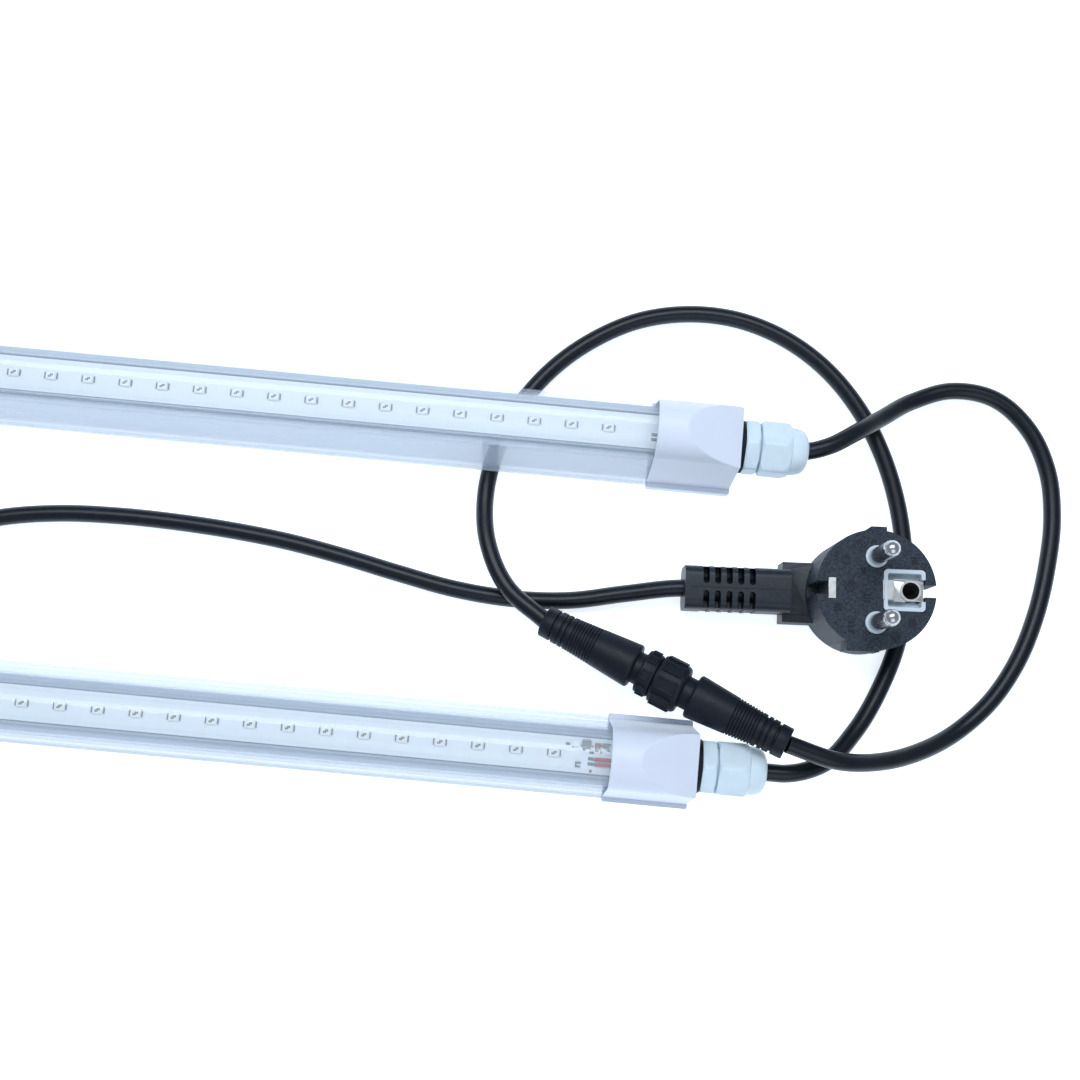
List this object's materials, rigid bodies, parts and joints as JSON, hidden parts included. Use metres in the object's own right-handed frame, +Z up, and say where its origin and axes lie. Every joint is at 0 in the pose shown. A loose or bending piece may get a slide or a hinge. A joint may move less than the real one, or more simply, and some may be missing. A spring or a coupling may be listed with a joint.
{
  "type": "led light tube",
  "caption": "Linked pair of clear LED light tubes with end caps and cable glands, joined by link cords through a waterproof connector, with a mains lead and angled plug.",
  "frame": {"origin": "on the floor, midway between the two tubes and midway along the far tube", "axes": "+X along the tubes towards the linked end, +Y from the near tube to the far tube, +Z up"},
  "size_m": [0.7668, 0.1714, 0.044],
  "materials": {
    "housing_clear": "clear moulded polycarbonate, glossy",
    "board_white": "white solder mask",
    "led_phosphor": "white package with pale phosphor",
    "driver_dark": "moulded chips",
    "wire_red": "silicone insulation",
    "cap_white": "satin moulded ABS",
    "seal_black": "soft rubber",
    "gland_white": "satin nylon",
    "cord_black": "glossy PVC sheath",
    "tie_black": "woven hook and loop strap",
    "connector_black": "fine matt PVC overmould",
    "contact_brass": "plain",
    "plug_grey": "spark-eroded moulded PVC",
    "pin_metal": "polished nickel plate",
    "plug_pale": "moulded nylon",
    "clip_metal": "plated spring strip"
  },
  "bodies": {
    "light": {"housing_a": "housing_clear", "housing_b": "housing_clear", "led_board_a": "board_white", "led_board_b": "board_white", "leds_a": "led_phosphor", "leds_b": "led_phosphor", "driver_parts_a": "driver_dark", "driver_parts_b": "driver_dark", "feed_wires_a_right": "wire_red", "feed_wires_a_left": "wire_red", "feed_wires_b": "wire_red", "cap_a_right": "cap_white", "cap_a_left": "cap_white", "cap_b_right": "cap_white", "cap_b_left": "cap_white", "gasket_a_right": "seal_black", "gasket_a_left": "seal_black", "gasket_b": "seal_black", "gland_seal_a_right": "seal_black", "gland_seal_a_left": "seal_black", "gland_seal_b": "seal_black", "connector_oring": "seal_black", "gland_body_a_right": "gland_white", "gland_body_a_left": "gland_white", "gland_body_b": "gland_white", "gland_locknut_a_right": "gland_white", "gland_locknut_a_left": "gland_white", "gland_locknut_b": "gland_white", "link_cord_a": "cord_black", "link_cord_b": "cord_black", "mains_tail": "cord_black", "mains_coil": "cord_black", "mains_lead": "cord_black", "coil_ties": "tie_black", "connector_socket_half": "connector_black", "connector_plug_half": "connector_black", "connector_pins": "contact_brass", "connector_sleeves": "contact_brass", "plug_body": "plug_grey", "plug_pin_live": "pin_metal", "plug_pin_neutral": "pin_metal", "plug_collars": "plug_pale", "plug_earth_frame": "plug_pale", "plug_earth_socket": "clip_metal", "plug_earth_clip": "clip_metal"},
    "nut_a_right": {"gland_nut_a_right": "gland_white"},
    "nut_a_left": {"gland_nut_a_left": "gland_white"},
    "nut_b": {"gland_nut_b": "gland_white"},
    "coupling": {"coupling_nut": "connector_black"}
  },
  "joints": [
    {"name": "gland_nut_a_right_turn", "type": "hinge", "parent": "light", "child": "nut_a_right", "pos_m": [0.31, 0.047, 0.0172], "axis": [1, 0, 0], "continuous": true},
    {"name": "gland_nut_a_left_turn", "type": "hinge", "parent": "light", "child": "nut_a_left", "pos_m": [-0.31, 0.047, 0.0172], "axis": [-1, 0, 0], "continuous": true},
    {"name": "gland_nut_b_turn", "type": "hinge", "parent": "light", "child": "nut_b", "pos_m": [0.305, -0.047, 0.013], "axis": [1, 0, 0], "continuous": true},
    {"name": "coupling_nut_turn", "type": "hinge", "parent": "light", "child": "coupling", "pos_m": [0.28615, -0.02453, 0.01634], "axis": [0.9116, -0.3761, 0.1657], "continuous": true}
  ]
}
